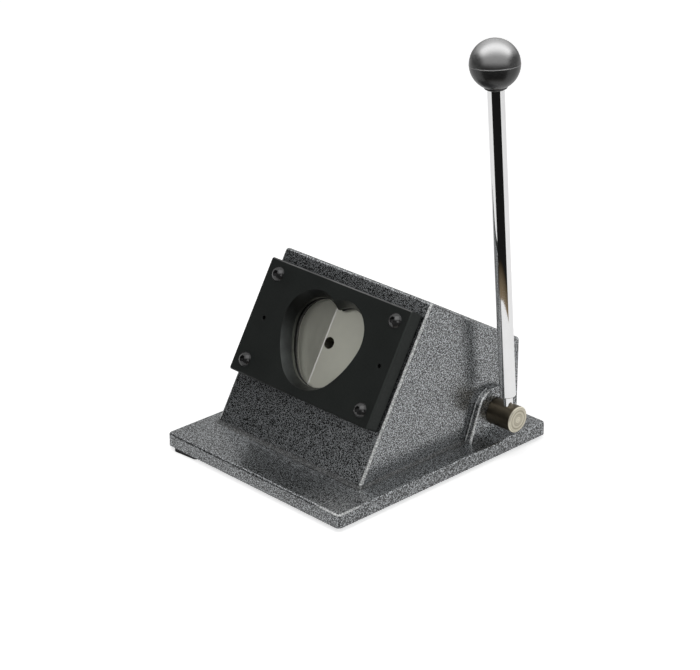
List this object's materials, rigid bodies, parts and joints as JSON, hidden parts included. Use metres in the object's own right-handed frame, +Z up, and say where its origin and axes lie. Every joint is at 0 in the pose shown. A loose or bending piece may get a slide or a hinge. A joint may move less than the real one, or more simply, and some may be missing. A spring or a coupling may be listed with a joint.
{
  "type": "heart-shaped badge cutter",
  "caption": "Bench cutter for heart-shaped badge paper: sloped cast housing, heart die plate with a shear-ground punch behind a paper slot, and a side lever that drives the punch by a cam.",
  "frame": {"origin": "on the table, below the middle of the whole machine seen from above", "axes": "+Z up, -Y towards the person who works it (the die plate faces -Y), +X to the lever side"},
  "size_m": [0.1815, 0.194, 0.291],
  "materials": {
    "hammer_paint": "glossy hammertone paint",
    "zinc_steel": "zinc plated",
    "rubber": "matte",
    "black_steel": "blackened, matte",
    "black_screw": "black oxide, satin",
    "ground_steel": "ground",
    "punch_steel": "ground, pale",
    "ram_steel": "milled",
    "spring_steel": "drawn wire",
    "bronze": "machined",
    "bare_steel": "turned, bare",
    "chrome": "polished",
    "black_plastic": "semi-gloss"
  },
  "bodies": {
    "frame": {"body_casting": "hammer_paint", "bottom_cover": "zinc_steel", "cover_screws": "zinc_steel", "foot_front_left": "rubber", "foot_front_right": "rubber", "foot_rear_left": "rubber", "foot_rear_right": "rubber", "die_plate": "black_steel", "slot_spacer_left": "black_steel", "slot_spacer_right": "black_steel", "die_screws": "black_screw", "die_pins": "black_screw", "punch_guide": "ground_steel", "guide_screws": "zinc_steel", "guide_pillar_left": "ground_steel", "guide_pillar_right": "ground_steel", "pillar_clips": "zinc_steel", "return_spring_left": "spring_steel", "return_spring_right": "spring_steel", "shaft_bush_left": "bronze", "shaft_bush_right": "bronze"},
    "lever": {"pivot_shaft": "bare_steel", "shaft_rings": "zinc_steel", "drive_cam": "ground_steel", "cam_pin": "zinc_steel", "lever_rod": "chrome", "ball_knob": "black_plastic", "knob_insert": "bronze"},
    "ram": {"heart_punch": "punch_steel", "punch_screw": "black_screw", "punch_dowels": "zinc_steel", "ram_block": "ram_steel", "ram_bush_left": "bronze", "ram_bush_right": "bronze", "cam_pad": "ground_steel", "pad_screws": "zinc_steel"}
  },
  "joints": [
    {"name": "lever_hinge", "type": "hinge", "parent": "frame", "child": "lever", "pos_m": [0.07475, 0.05811, 0.02954], "axis": [1, 0, 0], "range_deg": [0, 70]},
    {"name": "ram_slide", "type": "slide", "parent": "frame", "child": "ram", "axis": [0, -0.8616, 0.5075], "range_m": [0, 0.012], "stiffness_N_per_m": 1800, "springref_m": -0.02, "deforming": ["return_spring_left", "return_spring_right"]}
  ],
  "couplings": [
    {"joint": "ram_slide", "follows": "lever_hinge", "m_per_rad": 0.0098221}
  ]
}
